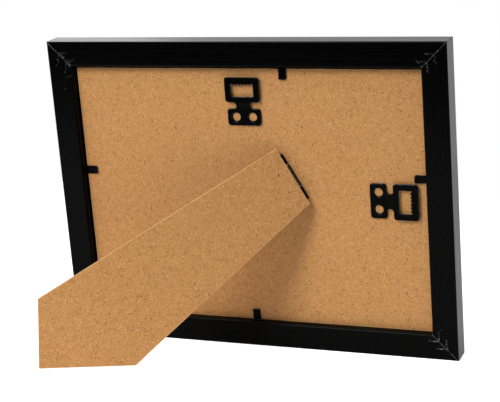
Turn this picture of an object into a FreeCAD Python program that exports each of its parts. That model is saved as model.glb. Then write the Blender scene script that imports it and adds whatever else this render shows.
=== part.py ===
import FreeCAD, Part
import math
import os

# Black photo frame standing on its easel leg, landscape way up. Sizes in millimetres, angles in degrees.
# Every piece is drawn on the upright frame: X runs along the frame, Y from the front to the back, Z up,
# with the origin in the middle of the bottom edge of the back. The finished frame is then leaned back.
# Left, right, top and bottom are as seen from the back, so left is +X.

Vector = FreeCAD.Vector
Placement = FreeCAD.Placement
Rotation = FreeCAD.Rotation
X_AXIS = Vector(1, 0, 0)
Y_AXIS = Vector(0, 1, 0)
Z_AXIS = Vector(0, 0, 1)
ORIGIN = Vector(0, 0, 0)

# How it stands
lean = 11.0
leg_opening = 35.0

# Picture pack: glass, insert and back board for a 5 by 7 inch picture
opening_width = 180.0
opening_height = 130.0
glass_play = 1.0
glass_thickness = 2.0
insert_thickness = 0.3
board_play = 0.7
board_thickness = 2.5
board_recess = 4.5

# Moulding
wall_width = 12.6
lip_width = 5.0
lip_thickness = 2.7
sight_bevel = 1.2
outer_round = 0.6
rebate_round = 1.1

# Corner nails
nail_wing = 4.7
nail_thickness = 0.4
nail_curl = 0.4
nail_depth = 7.0
nail_sink = 0.05
nail_fit = 0.04
first_nail = 5.7
second_nail = 9.4

# Retaining tabs, one on each side
tab_width = 4.0
tab_thickness = 0.5
tab_reach = 6.7
tab_tip_round = 0.7
tab_tip_length = 1.5
tab_tip_lift = 14.0
tab_gap = 0.1
stake_depth = 8.0
stake_fit = 0.05
tab_offset_shares = {"bottom": 0.018, "left": 0.163, "top": 0.233, "right": -0.175}
tab_reach_shares = {"bottom": 0.82, "left": 1.0, "top": 0.98, "right": 0.95}

# Sawtooth hangers
hanger_thickness = 0.8
ring_rise = 1.0
bend_round = 0.5
plate_width = 17.3
plate_height = 8.3
plate_round = 1.5
neck_width = 7.4
neck_length = 3.4
neck_round = 1.3
ring_width = 17.8
ring_height = 12.3
ring_round = 1.4
ring_top_bar = 3.2
window_width = 11.6
window_height = 6.4
window_round = 0.5
tooth_count = 6
tooth_depth = 0.9
tooth_row_share = 0.9
collar_bore = 4.1
collar_wall = 0.45
collar_depth = 1.7
collar_mouth = 0.35
collar_fit = 0.05
collar_spacing = 8.5
landscape_drop = 25.2
portrait_inset = 24.4

# Leg
leg_thickness = 2.5
leg_end_width = 31.1
leg_flare = 10.3
foot_width = 45.4
leg_edge_round = 0.25
hinge_slant = 60.0
hinge_place_shares = (-0.258, 0.174)

# Hinge of the leg
pin_diameter = 1.0
pin_clearance = 0.05
eye_wall = 0.5
leaf_thickness = 0.6
leaf_length = 13.0
leaf_round = 2.5
leaf_notch = 0.35
leg_setback = 0.8
hinge_length = 25.4
hinge_margin = 3.6
knuckle_gap = 0.2
knuckle_shares = (0.23, 0.48, 0.29)
curl_start = 270.0
curl_end = 15.0
stop_reach = 0.95
stop_gap = 0.05
spur_diameter = 1.2
spur_length = 1.9
spur_fit = 0.05
spur_along = 6.6
spur_spacing = 9.4

# One overrun serves every cut
overrun = 1.0

# Sizes worked out from the ones above
face_width = wall_width + lip_width
frame_width = opening_width + 2 * wall_width
frame_height = opening_height + 2 * wall_width
frame_centre = Vector(0, 0, frame_height / 2)
board_back = -board_recess
board_front = board_back - board_thickness
insert_front = board_front - insert_thickness
glass_front = insert_front - glass_thickness
moulding_depth = lip_thickness - glass_front
bore_radius = pin_diameter / 2 + pin_clearance
eye_radius = bore_radius + eye_wall
leaf_face = bore_radius + leaf_thickness
CORNERS = ("top_left", "top_right", "bottom_left", "bottom_right")
HANGERS = ("landscape", "portrait")
SIDE_TURNS = {"bottom": 0, "left": -90, "top": 180, "right": 90}
SIDE_LENGTHS = {"bottom": frame_width, "left": frame_height, "top": frame_width, "right": frame_height}
SIDE_HALF_SPANS = {"bottom": frame_height / 2, "left": frame_width / 2,
                   "top": frame_height / 2, "right": frame_width / 2}


def rounded_face(corners, radii):
    """Flat face on corner points, each corner rounded by its own radius."""
    edges = []
    leaving = []
    arriving = []
    for index, corner in enumerate(corners):
        back = (corners[index - 1] - corner).normalize()
        ahead = (corners[(index + 1) % len(corners)] - corner).normalize()
        half_angle = back.getAngle(ahead) / 2
        radius = radii[index]
        trim = radius / math.tan(half_angle)
        arriving.append(corner + back * trim)
        leaving.append(corner + ahead * trim)
        if radius > 0:
            inward = (back + ahead).normalize()
            middle = corner + inward * (radius / math.sin(half_angle) - radius)
            edges.append(Part.Arc(arriving[-1], middle, leaving[-1]).toShape())
    for index, start in enumerate(leaving):
        end = arriving[(index + 1) % len(corners)]
        edges.append(Part.LineSegment(start, end).toShape())
    return Part.Face(Part.Wire(Part.__sortEdges__(edges)))


def sharp_face(corners):
    """Flat face on corner points, with no rounding."""
    return Part.Face(Part.makePolygon(corners + corners[:1]))


def block(low, high):
    """Box between its lowest and highest corners."""
    size = high - low
    return Part.makeBox(size.x, size.y, size.z, low)


def on_side(shape, side):
    """A shape drawn on the bottom side, turned about the frame's centre onto the named side."""
    placed = shape.copy()
    placed.translate(Vector(0, 0, frame_height / 2 - SIDE_HALF_SPANS[side]))
    placed.rotate(frame_centre, Y_AXIS, SIDE_TURNS[side])
    return placed


def in_corner(shape, corner):
    """A shape drawn from the outer corner along +X and +Z, turned into the named corner."""
    turns = {"bottom_right": 0, "bottom_left": -90, "top_left": 180, "top_right": 90}
    placed = shape.copy()
    placed.rotate(ORIGIN, Y_AXIS, turns[corner])
    across = frame_width / 2 if corner.endswith("left") else -frame_width / 2
    height = frame_height if corner.startswith("top") else 0
    placed.translate(Vector(across, 0, height))
    return placed


def rail(side):
    """One length of rebated moulding, mitred at both ends."""
    half = SIDE_LENGTHS[side] / 2
    front = -moulding_depth
    corners = [Vector(-half, 0, 0), Vector(-half, 0, wall_width), Vector(-half, glass_front, wall_width),
               Vector(-half, glass_front, face_width), Vector(-half, front + sight_bevel, face_width),
               Vector(-half, front, face_width - sight_bevel), Vector(-half, front, 0)]
    radii = [outer_round, rebate_round, 0, 0, 0, 0, outer_round]
    bar = rounded_face(corners, radii).extrude(Vector(2 * half, 0, 0))
    inner = half - face_width
    long_half = half + overrun
    short_half = inner - overrun
    mitre = sharp_face([Vector(-long_half, overrun, -overrun), Vector(long_half, overrun, -overrun),
                        Vector(short_half, overrun, face_width + overrun),
                        Vector(-short_half, overrun, face_width + overrun)])
    wedge = mitre.extrude(Vector(0, front - 2 * overrun, 0))
    return on_side(bar.common(wedge), side)


def corner_nail(place, grow, top):
    """V-shaped corner nail, its point on the mitre and its wings along the two rails."""
    half = nail_thickness / 2 + grow
    bottom = -nail_sink - nail_depth - grow
    reach = place + nail_wing
    wing = block(Vector(place - half, bottom, place - half), Vector(reach, top, place + half))
    other = block(Vector(place - half, bottom, place - half), Vector(place + half, top, reach))
    nail = wing.fuse(other)
    for end in (Vector(reach, bottom, place), Vector(place, bottom, reach)):
        nail = nail.fuse(Part.makeCylinder(nail_curl + grow, top - bottom, end, Y_AXIS))
    return nail.removeSplitter()


def nail_pair(corner):
    """Both nails of one corner."""
    nails = [corner_nail(place, 0, -nail_sink) for place in (first_nail, second_nail)]
    return in_corner(Part.makeCompound(nails), corner)


def nail_slots(corner):
    """What the two nails of one corner take out of the rails."""
    slots = [corner_nail(place, nail_fit, overrun) for place in (first_nail, second_nail)]
    return in_corner(Part.makeCompound(slots), corner)


def tab_offset(side):
    """Where a tab stands along its side, from the middle."""
    opening = opening_width if side in ("top", "bottom") else opening_height
    return tab_offset_shares[side] * opening / 2


def tab_hinge_point(side):
    """Middle of the line at the rebate wall that the tab bends about."""
    height = wall_width + tab_gap + tab_thickness / 2
    return Vector(tab_offset(side), board_back + tab_gap + tab_thickness / 2, height)


def tab(side):
    """Free tongue of a retaining tab, lying on the back board with its tip turned up."""
    bend = tab_hinge_point(side)
    start = bend.x - tab_width / 2
    tip = wall_width + tab_reach * tab_reach_shares[side]
    turn = tip - tab_tip_length
    rise = tab_tip_length * math.tan(math.radians(tab_tip_lift))
    low = bend.y - tab_thickness / 2
    high = low + tab_thickness
    profile = [Vector(start, low, bend.z), Vector(start, low, turn), Vector(start, low + rise, tip),
               Vector(start, high + rise, tip), Vector(start, high, turn), Vector(start, high, bend.z)]
    strip = sharp_face(profile).extrude(Vector(tab_width, 0, 0))
    corners = [Vector(start, low, bend.z), Vector(start + tab_width, low, bend.z),
               Vector(start + tab_width, low, tip), Vector(start, low, tip)]
    outline = rounded_face(corners, [0, 0, tab_tip_round, tab_tip_round])
    blank = outline.extrude(Vector(0, high + rise - low, 0))
    root = Part.makeCylinder(tab_thickness / 2, tab_width, Vector(start, bend.y, bend.z), X_AXIS)
    return on_side(strip.common(blank).fuse(root).removeSplitter(), side)


def stake(side, grow):
    """Stretch of a retaining tab that is driven into the rebate wall."""
    bend = tab_hinge_point(side)
    half = Vector(tab_width / 2 + grow, tab_thickness / 2 + grow, 0)
    low = Vector(bend.x, bend.y, wall_width - stake_depth - grow) - half
    high = Vector(bend.x, bend.y, wall_width) + half
    return on_side(block(low, high), side)


def moulding(side):
    """Rail with the slots of its corner nails and of its retaining tab."""
    shape = rail(side).cut(stake(side, stake_fit))
    for corner in CORNERS:
        if side in corner:
            shape = shape.cut(nail_slots(corner))
    return shape


def pane(back, thickness, play):
    """Flat sheet of the picture pack, standing on the bottom of the rebate."""
    half = opening_width / 2 - play
    low = Vector(-half, back - thickness, wall_width)
    high = Vector(half, back, wall_width + opening_height - 2 * play)
    return block(low, high)


def hanger_outline():
    """Flat outline of a hanger: plate with the collars, narrow neck and ring above it."""
    plate_top = plate_height / 2
    ring_foot = plate_top + neck_length
    half = [(plate_width / 2, -plate_top, plate_round), (plate_width / 2, plate_top, plate_round),
            (neck_width / 2, plate_top, neck_round), (neck_width / 2, ring_foot, neck_round),
            (ring_width / 2, ring_foot, ring_round), (ring_width / 2, ring_foot + ring_height, ring_round)]
    whole = half + [(-across, height, radius) for across, height, radius in reversed(half)]
    corners = [Vector(across, 0, height) for across, height, radius in whole]
    return rounded_face(corners, [radius for across, height, radius in whole])


def hanger_window():
    """Window of the ring, its upper edge cut into teeth that hook over a nail."""
    top = plate_height / 2 + neck_length + ring_height - ring_top_bar
    foot = top - window_height
    half = window_width / 2
    pitch = tooth_row_share * window_width / tooth_count
    start = pitch * tooth_count / 2
    corners = [Vector(-half, 0, foot), Vector(half, 0, foot), Vector(half, 0, top)]
    radii = [window_round, window_round, window_round]
    for tooth in range(tooth_count):
        left = start - tooth * pitch
        corners.append(Vector(left, 0, top))
        corners.append(Vector(left - pitch / 2, 0, top - tooth_depth))
        radii += [0, 0]
    corners += [Vector(-start, 0, top), Vector(-half, 0, top)]
    radii += [0, window_round]
    return rounded_face(corners, radii)


def hanger_strip():
    """Side profile of a hanger: the neck is stepped so that the ring stands off the board."""
    step = plate_height / 2
    raised = step + neck_length
    far = raised + ring_height + overrun
    near = -step - overrun
    top = ring_rise + hanger_thickness
    outer_bend = bend_round + hanger_thickness
    side = -plate_width
    points = [(0, near, 0), (0, step, outer_bend), (ring_rise, raised, bend_round), (ring_rise, far, 0),
              (top, far, 0), (top, raised, outer_bend), (hanger_thickness, step, bend_round),
              (hanger_thickness, near, 0)]
    corners = [Vector(side, out, height) for out, height, radius in points]
    face = rounded_face(corners, [radius for out, height, radius in points])
    return face.extrude(Vector(-2 * side, 0, 0))


def collar_points():
    """Centres of the two collars of a hanger."""
    return [Vector(share * collar_spacing, 0, 0) for share in (-1 / 2, 1 / 2)]


def collar_opening(centre):
    """Bore of a collar, with the funnel of its mouth on the hanger's face."""
    radius = collar_bore / 2
    foot = centre - Vector(0, collar_depth + overrun, 0)
    bore = Part.makeCylinder(radius, collar_depth + hanger_thickness + overrun, foot, Y_AXIS)
    funnel_depth = collar_mouth + overrun
    neck = centre + Vector(0, hanger_thickness - collar_mouth, 0)
    return bore.fuse(Part.makeCone(radius, radius + funnel_depth, funnel_depth, neck, Y_AXIS))


def hanger_stamping():
    """Hanger pressed from one strip of steel, with its back on the board and its collars down in it."""
    reach = ring_rise + hanger_thickness + overrun
    blank = hanger_outline().extrude(Vector(0, reach, 0))
    shape = blank.common(hanger_strip())
    shape = shape.cut(hanger_window().extrude(Vector(0, reach, 0)))
    outer = collar_bore / 2 + collar_wall
    for centre in collar_points():
        sunk = centre - Vector(0, collar_depth, 0)
        shape = shape.fuse(Part.makeCylinder(outer, collar_depth + hanger_thickness / 2, sunk, Y_AXIS))
    for centre in collar_points():
        shape = shape.cut(collar_opening(centre))
    return shape.removeSplitter()


def place_hanger(shape, name):
    """A shape drawn on an upright hanger, moved to the named hanger's place on the board."""
    placed = shape.copy()
    if name == "landscape":
        placed.translate(Vector(0, board_back, wall_width + opening_height - landscape_drop))
    else:
        placed.rotate(ORIGIN, Y_AXIS, -90)
        placed.translate(Vector(portrait_inset - opening_width / 2, board_back, frame_height / 2))
    return placed


def collar_grooves():
    """Ring grooves that the collars of one hanger press into the board."""
    depth = collar_depth + collar_fit
    grooves = []
    for centre in collar_points():
        sunk = centre - Vector(0, depth, 0)
        outer = Part.makeCylinder(collar_bore / 2 + collar_wall + collar_fit, depth + overrun, sunk, Y_AXIS)
        core = Part.makeCylinder(collar_bore / 2 - collar_fit, depth + overrun, sunk, Y_AXIS)
        grooves.append(outer.cut(core))
    return Part.makeCompound(grooves)


# The leg and its hinge are drawn flat: X runs down the leg from the hinge line, Y along the hinge line
# from the leg's upper side, Z away from the board. The origin is on the pin's axis.

slant = math.radians(hinge_slant)
ACROSS = Vector(-math.cos(slant), 0, -math.sin(slant))
ALONG = Vector(math.sin(slant), 0, -math.cos(slant))
OUT = Y_AXIS
hinge_middle = Vector(hinge_place_shares[0] * opening_width / 2, board_back + leaf_face,
                      frame_height / 2 + hinge_place_shares[1] * opening_height / 2)
hinge_origin = hinge_middle - ACROSS * (leg_end_width / 2)
HINGE_PLACE = Placement(hinge_origin, Rotation(ALONG, ACROSS, OUT, "XYZ"))
opened = math.radians(leg_opening)
leaned = math.radians(lean)
OPEN_ALONG = ALONG * math.cos(opened) + OUT * math.sin(opened)
OPEN_OUT = OUT * math.cos(opened) - ALONG * math.sin(opened)
TABLE_UP = Vector(0, -math.sin(leaned), math.cos(leaned))
# The rounded bottom edge of the back stands on the table, and the leg's foot reaches the same level.
table_level = outer_round * (math.cos(leaned) + math.sin(leaned) - 1)


def on_board(shape):
    """A hinge piece that stays with the board."""
    placed = shape.copy()
    placed.Placement = HINGE_PLACE.multiply(placed.Placement)
    return placed


def on_leg(shape):
    """A piece of the leg, swung open about the pin."""
    placed = shape.copy()
    placed.rotate(ORIGIN, Y_AXIS, -leg_opening)
    return on_board(placed)


def leg_corners():
    """Corners of the leg, worked out so that its foot lies along the table when the leg is open."""
    inner_start = hinge_origin + OPEN_OUT * leaf_face
    fall = OPEN_ALONG.dot(TABLE_UP)
    foot_start = (table_level - inner_start.dot(TABLE_UP)) / fall
    foot_slope = -ACROSS.dot(TABLE_UP) / fall
    flare = math.tan(math.radians(leg_flare))
    square_end = leg_end_width - leg_setback * flare
    lower_along = (foot_start + foot_slope * square_end) / (1 - foot_slope * flare)
    lower_across = leg_end_width + (lower_along - leg_setback) * flare
    step = foot_width / math.hypot(1, foot_slope)
    toe_across = lower_across - step
    toe_along = lower_along - foot_slope * step
    side_along = toe_along + toe_across / foot_slope
    return [Vector(leg_setback, 0, leaf_face), Vector(leg_setback, leg_end_width, leaf_face),
            Vector(lower_along, lower_across, leaf_face), Vector(toe_along, toe_across, leaf_face),
            Vector(side_along, 0, leaf_face)]


def spur_points():
    """Where the two spurs of a hinge leaf stand."""
    middle = hinge_margin + hinge_length / 2
    return [Vector(spur_along, middle + share * spur_spacing, 0) for share in (-1 / 2, 1 / 2)]


def spurs(grow, face_side):
    """Spurs of one leaf, pointing up for the leg's leaf and down for the board's."""
    pegs = []
    for point in spur_points():
        start = Vector(point.x, point.y, face_side * (leaf_face - leaf_thickness / 2))
        length = spur_length + leaf_thickness / 2 + grow
        pegs.append(Part.makeCylinder(spur_diameter / 2 + grow, length, start, Z_AXIS * face_side))
    return pegs


def leg():
    """Easel leg cut from board, with blind holes for the spurs of its leaf."""
    shape = sharp_face(leg_corners()).extrude(Vector(0, 0, leg_thickness))
    outer_face = max(shape.Faces, key=lambda face: face.CenterOfMass.z)
    shape = shape.makeFillet(leg_edge_round, outer_face.Edges)
    for hole in spurs(spur_fit, 1):
        shape = shape.cut(hole)
    return on_leg(shape)


def knuckle_spans():
    """Start and end of the three knuckles along the hinge line."""
    usable = hinge_length - 2 * knuckle_gap
    spans = []
    start = hinge_margin
    for share in knuckle_shares:
        spans.append((start, start + share * usable))
        start += share * usable + knuckle_gap
    return spans


def polar(radius, degrees, across, face_side):
    """Point round the pin's axis."""
    turn = math.radians(degrees)
    return Vector(radius * math.cos(turn), across, face_side * radius * math.sin(turn))


def knuckle(span, face_side):
    """Knuckle rolled from the sheet of its leaf, open towards the leaf."""
    across = span[0]
    middle = (curl_start + curl_end) / 2
    outer = [polar(eye_radius, turn, across, face_side) for turn in (curl_start, middle, curl_end)]
    inner = [polar(bore_radius, turn, across, face_side) for turn in (curl_end, middle, curl_start)]
    far = eye_radius + 2 * leaf_notch
    near_face = -face_side * bore_radius
    far_face = -face_side * leaf_face
    sheet = [inner[-1], Vector(far, across, near_face), Vector(far, across, far_face),
             Vector(0, across, far_face), outer[0]]
    lip = Part.LineSegment(outer[-1], inner[0]).toShape()
    rolled = [Part.Arc(*outer).toShape(), lip, Part.Arc(*inner).toShape()]
    wire = Part.Wire(rolled + Part.makePolygon(sheet).Edges)
    return Part.Face(wire).extrude(Vector(0, span[1] - span[0], 0))


def leaf_plate(face_side):
    """Flat part of a hinge leaf, rounded at its far corners, with its spurs."""
    near = eye_radius + leaf_notch
    low = min(face_side * bore_radius, face_side * leaf_face)
    end = hinge_margin + hinge_length
    corners = [Vector(near, hinge_margin, low), Vector(leaf_length, hinge_margin, low),
               Vector(leaf_length, end, low), Vector(near, end, low)]
    plate = rounded_face(corners, [0, leaf_round, leaf_round, 0]).extrude(Vector(0, 0, leaf_thickness))
    for spur in spurs(0, face_side):
        plate = plate.fuse(spur)
    return plate


def board_leaf():
    """Hinge leaf on the board, with the two outer knuckles."""
    shape = leaf_plate(-1)
    for span in knuckle_spans()[::2]:
        shape = shape.fuse(knuckle(span, 1))
    return on_board(shape.removeSplitter())


def leg_leaf():
    """Hinge leaf on the leg, with the middle knuckle and the nose that stops the leg when it is open."""
    middle = knuckle_spans()[1]
    low = Vector(-stop_reach, middle[0], stop_gap - leaf_face)
    nose = block(low, Vector(0, middle[1], 0))
    nose.rotate(ORIGIN, Y_AXIS, leg_opening)
    bore = Part.makeCylinder(bore_radius, hinge_length, Vector(0, hinge_margin, 0), Y_AXIS)
    shape = leaf_plate(1).fuse(knuckle(middle, -1)).fuse(nose.cut(bore))
    return on_leg(shape.removeSplitter())


def hinge_pin():
    """Pin through the three knuckles."""
    return on_board(Part.makeCylinder(pin_diameter / 2, hinge_length, Vector(0, hinge_margin, 0), Y_AXIS))


def back_board():
    """Back board with the grooves of both hangers' collars and the holes of its hinge leaf."""
    shape = pane(board_back, board_thickness, board_play)
    for name in HANGERS:
        shape = shape.cut(place_hanger(collar_grooves(), name))
    for hole in spurs(spur_fit, -1):
        shape = shape.cut(on_board(hole))
    return shape


def build():
    """All pieces on the upright frame, by name."""
    pieces = {}
    for side in SIDE_TURNS:
        pieces["moulding_" + side] = moulding(side)
        pieces["tab_" + side] = tab(side)
        pieces["tab_stake_" + side] = stake(side, 0)
    for corner in CORNERS:
        pieces["v_nails_" + corner] = nail_pair(corner)
    pieces["glass_pane"] = pane(insert_front, glass_thickness, glass_play)
    pieces["insert_sheet"] = pane(board_front, insert_thickness, glass_play)
    pieces["back_board"] = back_board()
    for name in HANGERS:
        pieces["hanger_" + name] = place_hanger(hanger_stamping(), name)
    pieces["easel_leg"] = leg()
    pieces["hinge_leaf_board"] = board_leaf()
    pieces["hinge_leaf_leg"] = leg_leaf()
    pieces["hinge_pin"] = hinge_pin()
    return pieces


def lean_back(pieces):
    """Lean the frame back onto its leg and put the origin on the table, in the middle of the footprint."""
    for shape in pieces.values():
        shape.rotate(ORIGIN, X_AXIS, -lean)
    front = pieces["moulding_bottom"].BoundBox.YMin
    toe = pieces["easel_leg"].BoundBox.YMax
    to_origin = Vector(0, -(front + toe) / 2, -table_level)
    for shape in pieces.values():
        shape.translate(to_origin)
    return to_origin


os.makedirs("parts", exist_ok=True)
parts = build()
stand_shift = lean_back(parts)
for node, shape in parts.items():
    shape.exportStep("parts/" + node + ".step")
    print(node, len(shape.Solids), "solid", round(shape.Volume, 1), "cubic mm", shape.isValid())
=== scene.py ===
"""Looks of a black picture frame that stands on an easel leg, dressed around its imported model.

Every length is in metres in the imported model's own frame: X runs along the frame, Y out of its back, Z up.
Left, right, top and bottom are as seen from the back, so left is +X.
"""

from __future__ import annotations

import logging
import math
import random
from dataclasses import dataclass, field
from enum import Enum
from typing import Any

import bmesh
import bpy
from mathutils import Matrix, Vector


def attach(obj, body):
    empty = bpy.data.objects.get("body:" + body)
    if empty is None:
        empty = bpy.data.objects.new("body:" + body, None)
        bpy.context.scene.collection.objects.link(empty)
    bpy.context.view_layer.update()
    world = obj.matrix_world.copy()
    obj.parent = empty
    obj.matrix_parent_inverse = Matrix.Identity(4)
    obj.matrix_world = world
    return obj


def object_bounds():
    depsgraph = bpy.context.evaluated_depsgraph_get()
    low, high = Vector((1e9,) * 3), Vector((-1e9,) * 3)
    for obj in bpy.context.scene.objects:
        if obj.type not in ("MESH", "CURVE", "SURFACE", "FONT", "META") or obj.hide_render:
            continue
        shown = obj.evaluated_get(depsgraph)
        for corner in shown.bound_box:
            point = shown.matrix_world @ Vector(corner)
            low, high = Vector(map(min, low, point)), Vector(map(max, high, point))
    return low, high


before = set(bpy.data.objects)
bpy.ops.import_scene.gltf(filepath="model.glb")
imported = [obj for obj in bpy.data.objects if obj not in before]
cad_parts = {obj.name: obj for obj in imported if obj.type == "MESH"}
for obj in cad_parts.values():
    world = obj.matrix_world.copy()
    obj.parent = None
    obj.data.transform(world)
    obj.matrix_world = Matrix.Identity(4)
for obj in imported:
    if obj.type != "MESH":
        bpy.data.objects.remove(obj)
CAD_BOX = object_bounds()
MM = 0.001
BEVEL_SAMPLES = 6
FACING_ON_FLAT = 0.995
FACING_ON_EDGE = 0.86
log = logging.getLogger("photo_frame")

Colour = tuple[float, float, float, float]


def linear(hex_colour: str) -> Colour:
    """Turn an sRGB hex colour to linear light.

    Args:
        hex_colour: Colour as "#rrggbb".

    Returns:
        Linear red, green, blue and an alpha of one.
    """
    channels = [int(hex_colour[start:start + 2], 16) / 255 for start in (1, 3, 5)]
    curved = [c / 12.92 if c <= 0.04045 else ((c + 0.055) / 1.055) ** 2.4 for c in channels]
    return (curved[0], curved[1], curved[2], 1.0)


def add_node(tree: bpy.types.NodeTree, kind: str, inputs: dict[Any, Any] | None = None,
             **settings: Any) -> bpy.types.Node:
    """Add a shader node with its settings and links.

    Args:
        tree: Node tree that takes the node.
        kind: Blender's name of the node type.
        inputs: Value, output socket or node (its first output) for each input, by name or number.
        settings: Properties of the node.

    Returns:
        The new node.
    """
    node = tree.nodes.new(kind)
    for name, value in settings.items():
        setattr(node, name, value)
    for key, value in (inputs or {}).items():
        if isinstance(value, bpy.types.Node):
            value = value.outputs[0]
        if isinstance(value, bpy.types.NodeSocket):
            tree.links.new(value, node.inputs[key])
        else:
            node.inputs[key].default_value = value
    return node


class Side(Enum):
    """Sides of the frame, as seen from the back."""

    TOP = "top"
    BOTTOM = "bottom"
    LEFT = "left"
    RIGHT = "right"


class Corner(Enum):
    """Corners of the frame, as the signs of across and up from the middle of its back."""

    TOP_LEFT = (1, 1)
    TOP_RIGHT = (-1, 1)
    BOTTOM_LEFT = (1, -1)
    BOTTOM_RIGHT = (-1, -1)


@dataclass(frozen=True)
class Stance:
    """How the frame leans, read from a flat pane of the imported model."""

    turn: Matrix

    @classmethod
    def of_pane(cls, node: str) -> Stance:
        """Read the lean from a pane's largest face.

        Args:
            node: Name of a flat node that stands in the frame.

        Returns:
            The stance, whose turn carries upright directions to leaned ones.
        """
        largest = max(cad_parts[node].data.polygons, key=lambda face: face.area)
        out = Vector(largest.normal) * math.copysign(1, largest.normal.y)
        across = Vector((1, 0, 0))
        up = across.cross(out)
        return cls(Matrix((across, out, up)).transposed())

    @property
    def lean(self) -> float:
        """Angle from upright, in radians."""
        return -math.atan2(self.turn[2][1], self.turn[1][1])

    def box(self, *nodes: str) -> tuple[Vector, Vector]:
        """Lowest and highest corner of some nodes along the upright directions.

        Args:
            nodes: Names of the nodes that the box holds.

        Returns:
            Both corners in the upright directions.
        """
        back = self.turn.transposed()
        points = [back @ vertex.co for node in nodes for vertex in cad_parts[node].data.vertices]
        low = Vector([min(point[axis] for point in points) for axis in range(3)])
        high = Vector([max(point[axis] for point in points) for axis in range(3)])
        return low, high


STANCE = Stance.of_pane("glass_pane")
RAILS = [f"moulding_{side.value}" for side in Side]
OUTER_LOW, OUTER_HIGH = STANCE.box(*RAILS)
BACK_MIDDLE = Vector((0, OUTER_HIGH.y, (OUTER_LOW.z + OUTER_HIGH.z) / 2))


@dataclass(frozen=True)
class Finish:
    """A surface finish that becomes one procedural material."""

    name: str

    def material(self) -> bpy.types.Material:
        """Make the material.

        Returns:
            The material with its nodes linked.
        """
        made = bpy.data.materials.new(self.name)
        made.use_nodes = True
        tree = made.node_tree
        tree.nodes.clear()
        shader = self.shade(tree)
        add_node(tree, "ShaderNodeOutputMaterial", {"Surface": shader})
        return made

    def shade(self, tree: bpy.types.NodeTree) -> bpy.types.Node:
        """Make the nodes of this finish.

        Args:
            tree: The material's node tree.

        Returns:
            The shader node that goes to the output.
        """
        raise NotImplementedError

    @staticmethod
    def upright(tree: bpy.types.NodeTree) -> bpy.types.Node:
        """Coordinates along the frame, out of its back and up it, from the middle of its back.

        Args:
            tree: The material's node tree.

        Returns:
            Node that gives the coordinates in metres.
        """
        place = add_node(tree, "ShaderNodeTexCoord")
        return add_node(tree, "ShaderNodeMapping", {
            "Vector": place.outputs["Object"], "Location": -BACK_MIDDLE, "Rotation": (STANCE.lean, 0, 0)})

    @staticmethod
    def edges(tree: bpy.types.NodeTree, radius: float) -> tuple[bpy.types.Node, bpy.types.Node]:
        """Rounded normal near sharp edges, and how near an edge is.

        Args:
            tree: The material's node tree.
            radius: Radius of the rounding, in millimetres.

        Returns:
            Node with the rounded normal, and node that goes from zero on a flat to one on an edge.
        """
        flat = add_node(tree, "ShaderNodeNewGeometry")
        rounded = add_node(tree, "ShaderNodeBevel", {"Radius": radius * MM}, samples=BEVEL_SAMPLES)
        facing = add_node(tree, "ShaderNodeVectorMath", {0: flat.outputs["Normal"], 1: rounded},
                          operation="DOT_PRODUCT")
        near = add_node(tree, "ShaderNodeMapRange", {
            "Value": facing.outputs["Value"], "From Min": FACING_ON_FLAT, "From Max": FACING_ON_EDGE})
        return rounded, near


def per_metre(size: float) -> float:
    """Scale that gives a pattern's features a real size.

    Args:
        size: Size of a feature, in millimetres.

    Returns:
        Features in a metre.
    """
    return 1 / (size * MM)


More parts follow.
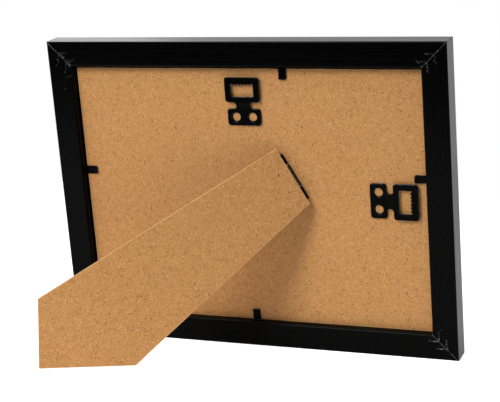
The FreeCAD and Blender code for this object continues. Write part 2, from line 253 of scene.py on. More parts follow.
@dataclass(frozen=True)
class BlackFoil(Finish):
    """Black printed foil wrapped round a fibreboard moulding by rollers.

    It is almost fully black seen straight on and turns grey at a low angle, where faint roller
    streaks run along the rail. Its wrapped edges catch a thin light, and the sawn mitres show as a hairline.
    """

    run: int = 0
    black: str = "#020202"
    sawn: str = "#8e8e90"
    streak_length: float = 60.0
    streak_spacing: float = 0.9
    hairline: float = 0.08
    edge: float = 0.45
    gloss: tuple[float, float] = (0.24, 0.34)
    specular: float = 0.04
    sheen: tuple[float, float] = (0.03, 0.36)
    sheen_angle: tuple[float, float] = (0.3, 0.6)
    rail_width: float = 12.6
    fold_over: tuple[float, float] = (0.3, 1.1)
    uneven_size: float = 2.5

    def shade(self, tree: bpy.types.NodeTree) -> bpy.types.Node:
        """Foil with lengthwise streaks, wrapped edges and a pale hairline along the mitres."""
        place = self.upright(tree)
        spacing = [per_metre(self.streak_spacing)] * 3
        spacing[self.run] = per_metre(self.streak_length)
        stretched = add_node(tree, "ShaderNodeMapping", {"Vector": place, "Scale": spacing})
        streaks = add_node(tree, "ShaderNodeTexNoise", {"Vector": stretched, "Scale": 1.0, "Detail": 3.0})
        rounded, _ = self.edges(tree, self.edge)
        bump = add_node(tree, "ShaderNodeBump", {
            "Strength": 0.2, "Distance": 0.02 * MM, "Height": streaks, "Normal": rounded})
        colour = add_node(tree, "ShaderNodeMix", {
            0: self.mitre(tree, place), 6: linear(self.black), 7: linear(self.sawn)}, data_type="RGBA")
        gloss = add_node(tree, "ShaderNodeMapRange", {
            "Value": streaks, "From Min": 0.35, "From Max": 0.65, "To Min": self.gloss[0],
            "To Max": self.gloss[1]})
        angle = add_node(tree, "ShaderNodeLayerWeight", {"Blend": 0.5, "Normal": rounded})
        level = add_node(tree, "ShaderNodeMapRange", {
            "Value": angle.outputs["Facing"], "From Min": self.sheen_angle[0],
            "From Max": self.sheen_angle[1], "To Min": self.specular,
            "To Max": self.wrapped(tree, place)}, interpolation_type="SMOOTHSTEP")
        return add_node(tree, "ShaderNodeBsdfPrincipled", {
            "Base Color": colour.outputs[2], "Roughness": gloss, "Specular IOR Level": level,
            "Normal": bump})

    def wrapped(self, tree: bpy.types.NodeTree, place: bpy.types.Node) -> bpy.types.Node:
        """Gloss at a low angle: high on the foil, little on the painted wall round the opening.

        Args:
            tree: The material's node tree.
            place: Upright coordinates from the middle of the back.

        Returns:
            Node that goes from the wall's gloss to the foil's.
        """
        half = (OUTER_HIGH - OUTER_LOW) / 2
        folded = add_node(tree, "ShaderNodeVectorMath", {0: place}, operation="ABSOLUTE")
        inward = Vector((half.x - self.rail_width * MM, 0, half.z - self.rail_width * MM))
        beyond = add_node(tree, "ShaderNodeVectorMath", {0: folded, 1: inward}, operation="SUBTRACT")
        axes = add_node(tree, "ShaderNodeSeparateXYZ", {0: beyond})
        nearest = add_node(tree, "ShaderNodeMath", {0: axes.outputs[0], 1: axes.outputs[2]},
                           operation="MAXIMUM")
        return add_node(tree, "ShaderNodeMapRange", {
            "Value": nearest, "From Min": self.fold_over[0] * MM, "From Max": self.fold_over[1] * MM,
            "To Min": self.sheen[0], "To Max": self.sheen[1]})

    def mitre(self, tree: bpy.types.NodeTree, place: bpy.types.Node) -> bpy.types.Node:
        """Mask of the hairline where two rails meet at 45 degrees.

        Args:
            tree: The material's node tree.
            place: Upright coordinates from the middle of the back.

        Returns:
            Node that is high on the hairline, and uneven along it.
        """
        folded = add_node(tree, "ShaderNodeVectorMath", {0: place}, operation="ABSOLUTE")
        axes = add_node(tree, "ShaderNodeSeparateXYZ", {0: folded})
        across_to_up = add_node(tree, "ShaderNodeMath", {0: axes.outputs[0], 1: axes.outputs[2]},
                                operation="SUBTRACT")
        longer = (OUTER_HIGH.x - OUTER_LOW.x) / 2 - (OUTER_HIGH.z - OUTER_LOW.z) / 2
        line = add_node(tree, "ShaderNodeMath", {
            0: across_to_up, 1: longer, 2: self.hairline * MM}, operation="COMPARE")
        wander = add_node(tree, "ShaderNodeTexNoise", {
            "Vector": place, "Scale": per_metre(self.uneven_size), "Detail": 3.0})
        share = add_node(tree, "ShaderNodeMapRange", {
            "Value": wander, "From Min": 0.35, "From Max": 0.6, "To Min": 0.25})
        return add_node(tree, "ShaderNodeMath", {0: line, 1: share}, operation="MULTIPLY")


@dataclass(frozen=True)
class Hardboard(Finish):
    """Thin hardboard: wood fibre cooked, felted and hot pressed to a matt brown sheet.

    The face is evenly warm, with bark and charred fibre as small dark dots, paler curls of fibre between
    them, and pale edges all round: partly raw fibre where it was stamped out, partly a painted highlight.
    """

    body: str = "#b38149"
    warm: str = "#b07d4b"
    pale: str = "#ddb07a"
    deep: str = "#8a5a2c"
    bark: str = "#4a290c"
    curl: str = "#dcae78"
    cut_fibre_and_highlight: str = "#e8c08c"
    cloud_size: float = 13.0
    felt_size: float = 2.4
    fibre_size: float = 0.55
    bark_spacing: float = 1.25
    curl_spacing: float = 1.05
    dot_rim: tuple[float, float] = (0.18, 0.25)
    patch_spread: float = 4.0
    edge: float = 0.25
    # Width of the pale edge band, which is partly raw fibre and partly a painted highlight.
    rim: float = 0.65
    roughness: float = 0.6
    specular: float = 0.2

    def shade(self, tree: bpy.types.NodeTree) -> bpy.types.Node:
        """Fibre felt with dark dots, pale curls and paler edges of raw fibre and painted highlight."""
        place = self.upright(tree)
        clouds = add_node(tree, "ShaderNodeTexNoise", {
            "Vector": place, "Scale": per_metre(self.cloud_size), "Detail": 2.0})
        felt = add_node(tree, "ShaderNodeTexNoise", {
            "Vector": place, "Scale": per_metre(self.felt_size), "Detail": 5.0, "Roughness": 0.62,
            "Distortion": 0.4})
        fibres = add_node(tree, "ShaderNodeTexNoise", {
            "Vector": place, "Scale": per_metre(self.fibre_size), "Detail": 2.0, "Distortion": 2.2})
        hue = add_node(tree, "ShaderNodeMix", {
            0: clouds, 6: linear(self.body), 7: linear(self.warm)}, data_type="RGBA")
        darker = add_node(tree, "ShaderNodeMapRange", {
            "Value": felt, "From Min": 0.50, "From Max": 0.28, "To Max": 0.5})
        shaded = add_node(tree, "ShaderNodeMix", {
            0: darker, 6: hue.outputs[2], 7: linear(self.deep)}, data_type="RGBA")
        gaps = add_node(tree, "ShaderNodeMapRange", {
            "Value": fibres, "From Min": 0.46, "From Max": 0.28, "To Max": 0.5})
        low = add_node(tree, "ShaderNodeMix", {
            0: gaps, 6: shaded.outputs[2], 7: linear(self.deep)}, data_type="RGBA")
        lighter = add_node(tree, "ShaderNodeMapRange", {
            "Value": fibres, "From Min": 0.54, "From Max": 0.72, "To Max": 0.7})
        high = add_node(tree, "ShaderNodeMix", {
            0: lighter, 6: low.outputs[2], 7: linear(self.pale)}, data_type="RGBA")
        curled = add_node(tree, "ShaderNodeMix", {
            0: self.dots(tree, place, self.curl_spacing), 6: high.outputs[2], 7: linear(self.curl)},
            data_type="RGBA")
        flecked = add_node(tree, "ShaderNodeMix", {
            0: self.dots(tree, place, self.bark_spacing), 6: curled.outputs[2], 7: linear(self.bark)},
            data_type="RGBA")
        rounded, _ = self.edges(tree, self.edge)
        # Pale band along every edge: partly raw fibre, partly a painted edge highlight.
        _, rim = self.edges(tree, self.rim)
        colour = add_node(tree, "ShaderNodeMix", {
            0: rim, 6: flecked.outputs[2], 7: linear(self.cut_fibre_and_highlight)}, data_type="RGBA")
        bump = add_node(tree, "ShaderNodeBump", {
            "Strength": 0.4, "Distance": 0.06 * MM, "Height": fibres, "Normal": rounded})
        return add_node(tree, "ShaderNodeBsdfPrincipled", {
            "Base Color": colour.outputs[2], "Roughness": self.roughness,
            "Specular IOR Level": self.specular, "Normal": bump})

    def dots(self, tree: bpy.types.NodeTree, place: bpy.types.Node, spacing: float) -> bpy.types.Node:
        """Mask of small dots, which stand closer in some patches than in others.

        Args:
            tree: The material's node tree.
            place: Upright coordinates in metres.
            spacing: Distance from dot to dot, in millimetres.

        Returns:
            Node that is high on a dot.
        """
        cells = add_node(tree, "ShaderNodeTexVoronoi", {"Vector": place, "Scale": per_metre(spacing)})
        dots = add_node(tree, "ShaderNodeMapRange", {
            "Value": cells.outputs["Distance"], "From Min": self.dot_rim[1], "From Max": self.dot_rim[0]})
        patches = add_node(tree, "ShaderNodeTexNoise", {
            "Vector": place, "Scale": per_metre(self.patch_spread * spacing), "Detail": 3.0})
        share = add_node(tree, "ShaderNodeMapRange", {
            "Value": patches, "From Min": 0.42, "From Max": 0.64, "To Min": 0.05, "To Max": 1.0})
        return add_node(tree, "ShaderNodeMath", {0: dots, 1: share}, operation="MULTIPLY")


@dataclass(frozen=True)
class BlackSteel(Finish):
    """Cold-rolled steel strip, stamped and then baked with a thin black coat.

    It is satin and nearly black; its stamped edges and bends catch the light, with rubbed coat and painted
    highlight.
    """

    coat: str = "#020202"
    # Lighter edge colour: partly rubbed coat, partly painted highlight.
    wear_and_glint: str = "#2c2c30"
    edge: float = 0.3
    wear_and_glint_size: float = 1.6
    wear_and_glint_from: float = 0.4
    wear_and_glint_span: float = 0.25
    wear_and_glint_share: float = 0.6
    gloss: tuple[float, float] = (0.22, 0.34)
    specular: tuple[float, float] = (0.03, 0.9)

    def shade(self, tree: bpy.types.NodeTree) -> bpy.types.Node:
        """Black coat, lighter on edges in patches: partly rubbed coat, partly painted highlight."""
        place = self.upright(tree)
        rounded, near = self.edges(tree, self.edge)
        wear_and_glint_noise = add_node(tree, "ShaderNodeTexNoise", {
            "Vector": place, "Scale": per_metre(self.wear_and_glint_size), "Detail": 3.0})
        patches = add_node(tree, "ShaderNodeMapRange", {
            "Value": wear_and_glint_noise, "From Min": self.wear_and_glint_from, "From Max": self.wear_and_glint_from + self.wear_and_glint_span,
            "To Max": self.wear_and_glint_share})
        share = add_node(tree, "ShaderNodeMath", {0: near, 1: patches}, operation="MULTIPLY")
        # Edges turn lighter where the noise is high: rubbed coat mixed with a painted highlight.
        colour = add_node(tree, "ShaderNodeMix", {
            0: share, 6: linear(self.coat), 7: linear(self.wear_and_glint)}, data_type="RGBA")
        gloss = add_node(tree, "ShaderNodeMapRange", {
            "Value": wear_and_glint_noise, "From Min": 0.3, "From Max": 0.7, "To Min": self.gloss[0],
            "To Max": self.gloss[1]})
        glint = add_node(tree, "ShaderNodeMapRange", {
            "Value": near, "To Min": self.specular[0], "To Max": self.specular[1]})
        return add_node(tree, "ShaderNodeBsdfPrincipled", {
            "Base Color": colour.outputs[2], "Roughness": gloss, "Specular IOR Level": glint,
            "Normal": rounded})


@dataclass(frozen=True)
class NailSteel(Finish):
    """Cold-rolled strip steel of the corner nails, pressed a little below the foil.

    The nail heads are dull grey and half covered with the black that closed over them.
    """

    grey: str = "#565759"
    smeared: str = "#060606"
    smear_size: float = 1.7
    cover: float = 0.52
    cover_span: float = 0.14
    bareness: tuple[float, float] = (0.08, 0.9)
    gloss: tuple[float, float] = (0.35, 0.55)

    def shade(self, tree: bpy.types.NodeTree) -> bpy.types.Node:
        """Dull metal under smears of black."""
        place = self.upright(tree)
        smears = add_node(tree, "ShaderNodeTexNoise", {
            "Vector": place, "Scale": per_metre(self.smear_size), "Detail": 3.0})
        bare = add_node(tree, "ShaderNodeMapRange", {
            "Value": smears, "From Min": self.cover, "From Max": self.cover + self.cover_span,
            "To Min": self.bareness[0], "To Max": self.bareness[1]})
        colour = add_node(tree, "ShaderNodeMix", {
            0: bare, 6: linear(self.smeared), 7: linear(self.grey)}, data_type="RGBA")
        gloss = add_node(tree, "ShaderNodeMapRange", {
            "Value": smears, "From Min": 0.3, "From Max": 0.7, "To Min": self.gloss[0],
            "To Max": self.gloss[1]})
        return add_node(tree, "ShaderNodeBsdfPrincipled", {
            "Base Color": colour.outputs[2], "Metallic": 1.0, "Roughness": gloss})


@dataclass(frozen=True)
class TornFibre(Finish):
    """Fibreboard torn up through the foil round a driven nail: small matt chips of grey-brown fibre."""

    pale: str = "#b4b3b1"
    dusty: str = "#2a2a2a"
    dust_size: float = 0.7

    def shade(self, tree: bpy.types.NodeTree) -> bpy.types.Node:
        """Matt fibre, some of it dusty with black."""
        place = self.upright(tree)
        dust = add_node(tree, "ShaderNodeTexNoise", {
            "Vector": place, "Scale": per_metre(self.dust_size), "Detail": 2.0})
        colour = add_node(tree, "ShaderNodeMix", {
            0: dust, 6: linear(self.pale), 7: linear(self.dusty)}, data_type="RGBA")
        bump = add_node(tree, "ShaderNodeBump", {"Strength": 0.5, "Distance": 0.05 * MM, "Height": dust})
        return add_node(tree, "ShaderNodeBsdfPrincipled", {
            "Base Color": colour.outputs[2], "Roughness": 0.8, "Specular IOR Level": 0.1, "Normal": bump})


@dataclass(frozen=True)
class PushedFibre(Finish):
    """Hardboard fibre pushed up by a steel spur from inside: matt, dark brown of pressed fibre and painted
    shade, pale torn fibre.
    """

    bruised_and_shade: str = "#6d4520"
    torn: str = "#e2b683"
    tear_size: float = 0.6

    def shade(self, tree: bpy.types.NodeTree) -> bpy.types.Node:
        """Matt fibre, dark brown for pressed fibre and painted shade, and pale where it tore."""
        place = self.upright(tree)
        tears = add_node(tree, "ShaderNodeTexNoise", {
            "Vector": place, "Scale": per_metre(self.tear_size), "Detail": 2.0})
        share = add_node(tree, "ShaderNodeMapRange", {"Value": tears, "From Min": 0.56, "From Max": 0.68})
        # The dark brown stands for pressed fibre and for the burr's shade, painted in.
        colour = add_node(tree, "ShaderNodeMix", {
            0: share, 6: linear(self.bruised_and_shade), 7: linear(self.torn)}, data_type="RGBA")
        bump = add_node(tree, "ShaderNodeBump", {"Strength": 0.5, "Distance": 0.08 * MM, "Height": tears})
        return add_node(tree, "ShaderNodeBsdfPrincipled", {
            "Base Color": colour.outputs[2], "Roughness": 0.8, "Specular IOR Level": 0.1, "Normal": bump})


@dataclass(frozen=True)
class FloatGlass(Finish):
    """Float glass, drawn flat on molten tin: clear, mirror smooth, and a trace green from its iron."""

    tint: str = "#fafdfb"
    clearance: float = 0.01
    ripple_size: float = 45.0

    def material(self) -> bpy.types.Material:
        """Make the glass, its faces drawn in a hair so that its back and the card on it don't share a plane.

        Returns:
            The new material.
        """
        glass = super().material()
        tree = glass.node_tree
        inset = add_node(tree, "ShaderNodeDisplacement", {
            "Height": -self.clearance * MM, "Midlevel": 0.0, "Scale": 1.0})
        output = tree.get_output_node("ALL")
        tree.links.new(inset.outputs[0], output.inputs["Displacement"])
        glass.displacement_method = "DISPLACEMENT"
        return glass

    def shade(self, tree: bpy.types.NodeTree) -> bpy.types.Node:
        """Clear glass with a very slow ripple."""
        place = self.upright(tree)
        ripple = add_node(tree, "ShaderNodeTexNoise", {
            "Vector": place, "Scale": per_metre(self.ripple_size), "Detail": 0.0})
        bump = add_node(tree, "ShaderNodeBump", {"Strength": 0.05, "Distance": 0.01 * MM, "Height": ripple})
        return add_node(tree, "ShaderNodeBsdfPrincipled", {
            "Base Color": linear(self.tint), "Roughness": 0.02, "IOR": 1.52, "Transmission Weight": 1.0,
            "Normal": bump})


@dataclass(frozen=True)
class WhiteCard(Finish):
    """Uncoated white card, felted from bleached pulp: matt, with a faint cloud of fibre."""

    white: str = "#faf8f4"
    pulp: str = "#f0ede6"
    felt_size: float = 0.8

    def shade(self, tree: bpy.types.NodeTree) -> bpy.types.Node:
        """White fibre felt."""
        place = self.upright(tree)
        felt = add_node(tree, "ShaderNodeTexNoise", {
            "Vector": place, "Scale": per_metre(self.felt_size), "Detail": 4.0})
        bump = add_node(tree, "ShaderNodeBump", {"Strength": 0.2, "Distance": 0.02 * MM, "Height": felt})
        colour = add_node(tree, "ShaderNodeMix", {
            0: felt, 6: linear(self.white), 7: linear(self.pulp)}, data_type="RGBA")
        return add_node(tree, "ShaderNodeBsdfPrincipled", {
            "Base Color": colour.outputs[2], "Roughness": 0.85, "Specular IOR Level": 0.2, "Normal": bump})


@dataclass(frozen=True)
class LightTable(Finish):
    """Opal acrylic sheet of a light table, lit from below: matt and even, with faint shadows.

    The picture shows it brighter than the light that it gives the object.
    """

    opal: str = "#f4f4f4"
    glow: float = 0.32
    seen_glow: float = 0.8

    def shade(self, tree: bpy.types.NodeTree) -> bpy.types.Node:
        """Even matt white that gives a little light of its own."""
        path = add_node(tree, "ShaderNodeLightPath")
        strength = add_node(tree, "ShaderNodeMapRange", {
            "Value": path.outputs["Is Camera Ray"], "To Min": self.glow, "To Max": self.seen_glow})
        return add_node(tree, "ShaderNodeBsdfPrincipled", {
            "Base Color": linear(self.opal), "Roughness": 0.9, "Specular IOR Level": 0.0,
            "Emission Color": linear("#ffffff"), "Emission Strength": strength})


def dress(node: str, material: bpy.types.Material) -> bpy.types.Object:
    """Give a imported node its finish.

    Args:
        node: Name of the node.
        material: Finish of all its faces.

    Returns:
        The node's object.
    """
    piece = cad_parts[node]
    for slot in piece.material_slots:
        slot.material = material
    log.info("dressed %s in %s", node, material.name)
    return piece


def add_piece(name: str, shape: bmesh.types.BMesh, material: bpy.types.Material, body: str) -> bpy.types.Object:
    """Turn a finished shape into a piece that rides on a body.

    Args:
        name: Plain name of the piece.
        shape: The shape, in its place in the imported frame.
        material: Its finish.
        body: The body that carries it.

    Returns:
        The new object.
    """
    mesh = bpy.data.meshes.new(name)
    shape.to_mesh(mesh)
    shape.free()
    mesh.materials.append(material)
    piece = bpy.data.objects.new(name, mesh)
    bpy.context.scene.collection.objects.link(piece)
    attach(piece, body)
    log.info("made %s with %d faces", name, len(mesh.polygons))
    return piece


@dataclass(frozen=True)
class Chip:
    """A chip of torn fibre on the back of a rail, in millimetres.

    It is measured from the outer corner: along the long rail, and along the short rail.
    """

    along: float
    down: float
    length: float
    width: float
    turn: float = 0.0


@dataclass
class Moulding:
    """The four mitred rails, the nails in their corners and the fibre torn up round the nails."""

    chip_height: float = 0.12
    chip_scale: float = 0.7
    chip_sink: float = 0.04
    chip_sides: int = 9
    roughness: float = 0.22
    seed: int = 7
    chips: dict[Corner, tuple[Chip, ...]] = field(default_factory=lambda: {
        Corner.TOP_LEFT: (
            Chip(8.1, 6.7, 0.6, 0.5), Chip(8.9, 7.8, 2.1, 0.35), Chip(5.2, 9.2, 0.3, 1.3),
            Chip(10.2, 11.4, 1.4, 0.32, 52), Chip(12.0, 11.3, 1.9, 0.3, 2), Chip(12.2, 10.2, 2.6, 0.28, -1),
            Chip(11.5, 12.4, 0.8, 0.6, 35), Chip(8.7, 15.4, 0.7, 0.4, 60), Chip(10.3, 17.8, 0.45, 0.6),
            Chip(11.9, 17.3, 0.4, 0.3), Chip(7.8, 23.9, 0.35, 0.8), Chip(4.3, 11.9, 0.7, 0.3, -20)),
        Corner.TOP_RIGHT: (
            Chip(9.5, 5.9, 0.8, 0.45, 30), Chip(6.3, 8.9, 1.2, 0.4, 4), Chip(5.1, 9.8, 0.9, 0.35, -10),
            Chip(14.4, 9.0, 0.7, 0.4, -40), Chip(13.5, 9.9, 1.0, 0.4), Chip(12.1, 11.4, 0.8, 0.6, 20),
            Chip(9.7, 10.0, 0.4, 0.8), Chip(9.6, 11.9, 0.4, 0.9, 20), Chip(9.6, 13.6, 0.4, 0.4)),
        Corner.BOTTOM_LEFT: (
            Chip(8.0, 7.3, 0.7, 0.4, 25), Chip(11.9, 12.0, 0.7, 0.5, 40), Chip(6.6, 9.4, 0.5, 0.4)),
        Corner.BOTTOM_RIGHT: (
            Chip(13.9, 10.4, 0.9, 0.3, -65), Chip(8.5, 15.4, 0.4, 0.7), Chip(12.4, 12.9, 0.7, 0.35, 45),
            Chip(5.2, 6.2, 1.0, 0.4, 40)),
    })

    def build(self) -> None:
        """Dress the rails and nails, and add the torn fibre."""
        lengthwise = BlackFoil("black_foil_lengthwise", run=0).material()
        upwards = BlackFoil("black_foil_upwards", run=2).material()
        for side in Side:
            dress(f"moulding_{side.value}", lengthwise if side in (Side.TOP, Side.BOTTOM) else upwards)
        smeared = NailSteel("nail_steel_smeared").material()
        bare = NailSteel("nail_steel_bare", grey="#8c8d90", cover=0.49).material()
        fibre = TornFibre("torn_fibreboard").material()
        chance = random.Random(self.seed)
        for corner, chips in self.chips.items():
            name = corner.name.lower()
            dress(f"v_nails_{name}", bare if corner is Corner.BOTTOM_RIGHT else smeared)
            shape = bmesh.new()
            for chip in chips:
                self.tear(shape, corner, chip, chance)
            add_piece(f"torn_chips_{name}", shape, fibre, "frame")

    def tear(self, shape: bmesh.types.BMesh, corner: Corner, chip: Chip, chance: random.Random) -> None:
        """Add one chip: an uneven flake with a raised, smaller top.

        Args:
            shape: Mesh that takes the chip.
            corner: Corner of the frame that the chip lies in.
            chip: Its place and size.
            chance: Source of its unevenness.
        """
        right, top = corner.value
        outline = bmesh.ops.create_circle(shape, cap_ends=True, segments=self.chip_sides, radius=0.5)["verts"]
        for vertex in outline:
            vertex.co *= 1 + chance.uniform(-self.roughness, self.roughness)
        foot = {face for vertex in outline for face in vertex.link_faces}
        raised = bmesh.ops.extrude_face_region(shape, geom=list(foot), use_keep_orig=True)["geom"]
        crown = [part for part in raised if isinstance(part, bmesh.types.BMVert)]
        for vertex in crown:
            vertex.co *= chance.uniform(0.45, 0.8)
            vertex.co.z = chance.uniform(0.5, 1.0)
        flake = outline + crown
        bmesh.ops.reverse_faces(shape, faces=list(foot))
        thick = self.chip_height + self.chip_sink
        spread = (chip.length * self.chip_scale, chip.width * self.chip_scale, thick)
        bmesh.ops.scale(shape, vec=Vector(spread) * MM, verts=flake)
        bmesh.ops.rotate(shape, matrix=Matrix.Rotation(math.radians(chip.turn), 3, "Z"), verts=flake)
        # The drawn flake lies with its face up; the back of the frame faces out along the stance's Y.
        lay = STANCE.turn @ Matrix(((-1, 0, 0), (0, 0, 1), (0, 1, 0)))
        bmesh.ops.transform(shape, matrix=lay.to_4x4(), verts=flake)
        reach = Vector(((OUTER_HIGH.x - chip.along * MM) * right, OUTER_HIGH.y - self.chip_sink * MM,
                        OUTER_HIGH.z - chip.down * MM if top > 0 else OUTER_LOW.z + chip.down * MM))
        bmesh.ops.translate(shape, vec=STANCE.turn @ reach, verts=flake)


@dataclass
class PicturePack:
    """Glass, insert and back board in the rebate."""

    def build(self) -> None:
        """Dress the three sheets."""
        dress("glass_pane", FloatGlass("float_glass_clear").material())
        dress("insert_sheet", WhiteCard("white_card").material())
        dress("back_board", Hardboard("hardboard_back").material())


@dataclass
class Fittings:
    """Black steel tabs and hangers."""

    def build(self) -> None:
        """Dress the tabs and the hangers."""
        steel = BlackSteel("black_steel_strip").material()
        for side in Side:
            dress(f"tab_{side.value}", steel)
            dress(f"tab_stake_{side.value}", steel)
        for name in ("hanger_landscape", "hanger_portrait"):
            dress(name, steel)


@dataclass(frozen=True)
class Burr:
    """Fibre pushed up on the leg's outer face over a spur of the hinge leaf, in millimetres.

    Its place is measured from the middle of the hinge pin: along the leg, and across it downwards.
    """

    along: float
    across: float
    width: float
    height: float


@dataclass
class Easel:
    """The leg, its hinge and the fibre pushed up by the spurs of the hinge leaf."""

    burrs: tuple[Burr, ...] = (Burr(6.6, -4.7, 1.25, 0.3), Burr(6.6, 4.7, 0.8, 0.12))
    burr_rings: tuple[tuple[float, float], ...] = ((1.0, -0.3), (0.72, 0.7), (0.5, 1.0), (0.28, 0.35))
    burr_sides: int = 14
    burr_inset: float = 0.08
    roughness: float = 0.16
    seed: int = 11

    def build(self) -> None:
        """Dress the leg and the hinge, and add the burrs."""
        leg = dress("easel_leg", Hardboard("hardboard_leg").material())
        # The hinge's near-white edge colour is a painted highlight on its knuckles.
        steel = BlackSteel("black_steel_hinge", wear_and_glint="#f0f0f4", wear_and_glint_from=0.2, wear_and_glint_share=1.0,
                           specular=(0.1, 1.0)).material()
        for name in ("hinge_leaf_board", "hinge_leaf_leg"):
            dress(name, steel)
        pin = dress("hinge_pin", NailSteel("pin_steel").material())
        chance = random.Random(self.seed)
        shape = bmesh.new()
        for burr in self.burrs:
            self.push_up(shape, burr, self.seat(leg, pin), chance)
        add_piece("spur_burrs", shape, PushedFibre("pushed_up_fibre").material(), "leg")

    def seat(self, leg: bpy.types.Object, pin: bpy.types.Object) -> Matrix:
        """Place of the leg's outer face over the pin.

        Args:
            leg: The leg.
            pin: The hinge pin.

        Returns:
            Matrix whose X runs along the leg, Y across it downwards and Z out of its outer face.
        """
        outward = max(leg.data.polygons, key=lambda face: (round(face.area, 9), face.normal.y)).normal
        ends = sorted((vertex.co for vertex in pin.data.vertices), key=lambda point: point.z)
        count = len(ends) // 2
        low = sum(ends[:count], Vector()) / count
        high = sum(ends[-count:], Vector()) / count
        middle = (low + high) / 2
        out = Vector(outward) * math.copysign(1, outward.y)
        across = (low - high).normalized()
        along = across.cross(out)
        rise = max((vertex.co - middle).dot(out) for vertex in leg.data.vertices)
        turn = Matrix((along, across, out)).transposed().to_4x4()
        return Matrix.Translation(middle + out * rise) @ turn

    def push_up(self, shape: bmesh.types.BMesh, burr: Burr, seat: Matrix, chance: random.Random) -> None:
        """Add one burr: an uneven ring of fibre with a sunken middle.

        Args:
            shape: Mesh that takes the burr.
            burr: Its place and size.
            seat: Place of the leg's outer face over the pin.
            chance: Source of its unevenness.
        """
        start = len(shape.verts)
        rim = bmesh.ops.create_circle(shape, cap_ends=True, segments=self.burr_sides, radius=0.5)["verts"]
        face = rim[0].link_faces[0]
        for share, height in self.burr_rings[1:]:
            bmesh.ops.inset_individual(shape, faces=[face], thickness=self.burr_inset)
            for vertex in face.verts:
                vertex.co = vertex.co.normalized() * share / 2
                vertex.co.z = height
        for vertex in rim:
            vertex.co.z = self.burr_rings[0][1]
        shape.verts.ensure_lookup_table()
        raised = shape.verts[start:]
        for vertex in raised:
            vertex.co.xy *= 1 + chance.uniform(-self.roughness, self.roughness)
            vertex.co.z *= 1 + chance.uniform(-2, 2) * self.roughness
        bmesh.ops.scale(shape, vec=(burr.width * MM, burr.width * MM, burr.height * MM), verts=raised)
        bmesh.ops.translate(shape, vec=(burr.along * MM, burr.across * MM, 0), verts=raised)
        bmesh.ops.transform(shape, matrix=seat, verts=raised)


@dataclass(frozen=True)
class Softbox:
    """A square soft light of the studio."""

    name: str
    place: tuple[float, float, float]
    width: float
    power: float

    def build(self, aim: Vector) -> None:
        """Hang the light and point it.

        Args:
            aim: Point that the light faces.
        """
        light = bpy.data.lights.new(self.name, "AREA")
        light.shape = "SQUARE"
        light.size = self.width
        light.energy = self.power
        lamp = bpy.data.objects.new(self.name, light)
        lamp.location = self.place
        lamp.rotation_euler = (aim - lamp.location).to_track_quat("-Z", "Y").to_euler()
        lamp.visible_camera = False
        bpy.context.scene.collection.objects.link(lamp)
        log.info("hung %s", self.name)


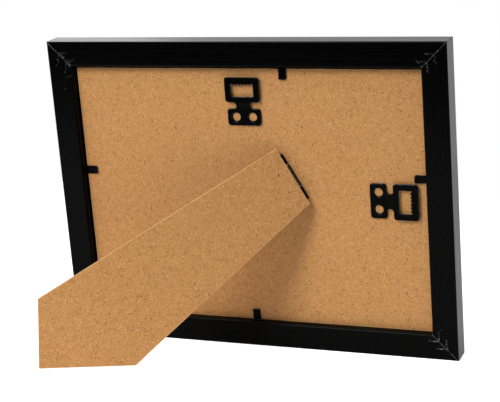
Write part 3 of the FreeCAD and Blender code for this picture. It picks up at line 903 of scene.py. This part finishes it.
@dataclass
class Studio:
    """White light table, soft light and the camera at the photograph's angle."""

    table_width: float = 4.0
    table_ends: tuple[float, float] = (-0.75, 0.22)
    backdrop: float = 1.0
    far_side: float = 0.88
    near_side: float = 0.02
    lights: list[Softbox] = field(default_factory=lambda: [
        Softbox("softbox_left", (0.20, 0.56, 0.47), 0.25, 4.5),
        Softbox("softbox_above", (0.38, 0.40, 1.2), 0.8, 9.5),
        Softbox("softbox_far_side", (0.77, -0.92, 0.75), 0.5, 0.9),
    ])
    camera_place: tuple[float, float, float] = (-0.27505, 0.64994, 0.15588)
    camera_aim: tuple[float, float, float] = (0.37447, -0.92057, -0.11098)
    camera_roll: float = -0.184
    focal_pixels: float = 1496.6
    picture_width: float = 500.0
    sensor_width: float = 36.0

    def build(self) -> None:
        """Make the floor, the lights, the surroundings and the camera."""
        self.lay_floor()
        self.surround()
        middle = (CAD_BOX[0] + CAD_BOX[1]) / 2
        for softbox in self.lights:
            softbox.build(middle)
        self.place_camera()

    def lay_floor(self) -> None:
        """Lay the floor under the object."""
        shape = bmesh.new()
        bmesh.ops.create_grid(shape, x_segments=1, y_segments=1, size=0.5)
        far, near = self.table_ends
        bmesh.ops.scale(shape, vec=(self.table_width, near - far, 1), verts=shape.verts)
        bmesh.ops.translate(shape, vec=(0, (near + far) / 2, 0), verts=shape.verts)
        mesh = bpy.data.meshes.new("studio_floor")
        shape.to_mesh(mesh)
        shape.free()
        mesh.materials.append(LightTable("light_table").material())
        floor = bpy.data.objects.new("studio_floor", mesh)
        bpy.context.scene.collection.objects.link(floor)

    def surround(self) -> None:
        """Give soft white light from all round, most of it from the far side, and a plain white backdrop."""
        world = bpy.data.worlds.new("studio_surround")
        world.use_nodes = True
        tree = world.node_tree
        tree.nodes.clear()
        white = linear("#ffffff")
        way = add_node(tree, "ShaderNodeTexCoord")
        axes = add_node(tree, "ShaderNodeSeparateXYZ", {0: way.outputs["Generated"]})
        strength = add_node(tree, "ShaderNodeMapRange", {
            "Value": axes.outputs[1], "From Min": -0.75, "From Max": -0.15, "To Min": self.far_side,
            "To Max": self.near_side}, interpolation_type="SMOOTHSTEP")
        seen = add_node(tree, "ShaderNodeBackground", {"Color": white, "Strength": self.backdrop})
        soft = add_node(tree, "ShaderNodeBackground", {"Color": white, "Strength": strength})
        path = add_node(tree, "ShaderNodeLightPath")
        both = add_node(tree, "ShaderNodeMixShader", {0: path.outputs["Is Camera Ray"], 1: soft, 2: seen})
        add_node(tree, "ShaderNodeOutputWorld", {"Surface": both})
        bpy.context.scene.world = world
        # The surroundings are to come out plain white, as in a catalogue picture.
        bpy.context.scene.view_settings.view_transform = "Standard"

    def place_camera(self) -> None:
        """Put the camera where the photograph was taken from."""
        lens = bpy.data.cameras.new("camera")
        lens.sensor_width = self.sensor_width
        lens.lens = self.focal_pixels / self.picture_width * self.sensor_width
        lens.clip_start = 0.05
        camera = bpy.data.objects.new("camera", lens)
        camera.location = self.camera_place
        level = Vector(self.camera_aim).to_track_quat("-Z", "Y").to_matrix()
        camera.rotation_euler = (level @ Matrix.Rotation(math.radians(self.camera_roll), 3, "Z")).to_euler()
        bpy.context.scene.collection.objects.link(camera)
        bpy.context.scene.camera = camera


def main() -> None:
    """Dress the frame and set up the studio."""
    logging.basicConfig(level=logging.INFO, format="%(message)s")
    for part in (Moulding(), PicturePack(), Fittings(), Easel(), Studio()):
        part.build()


if __name__ == "__main__":
    main()
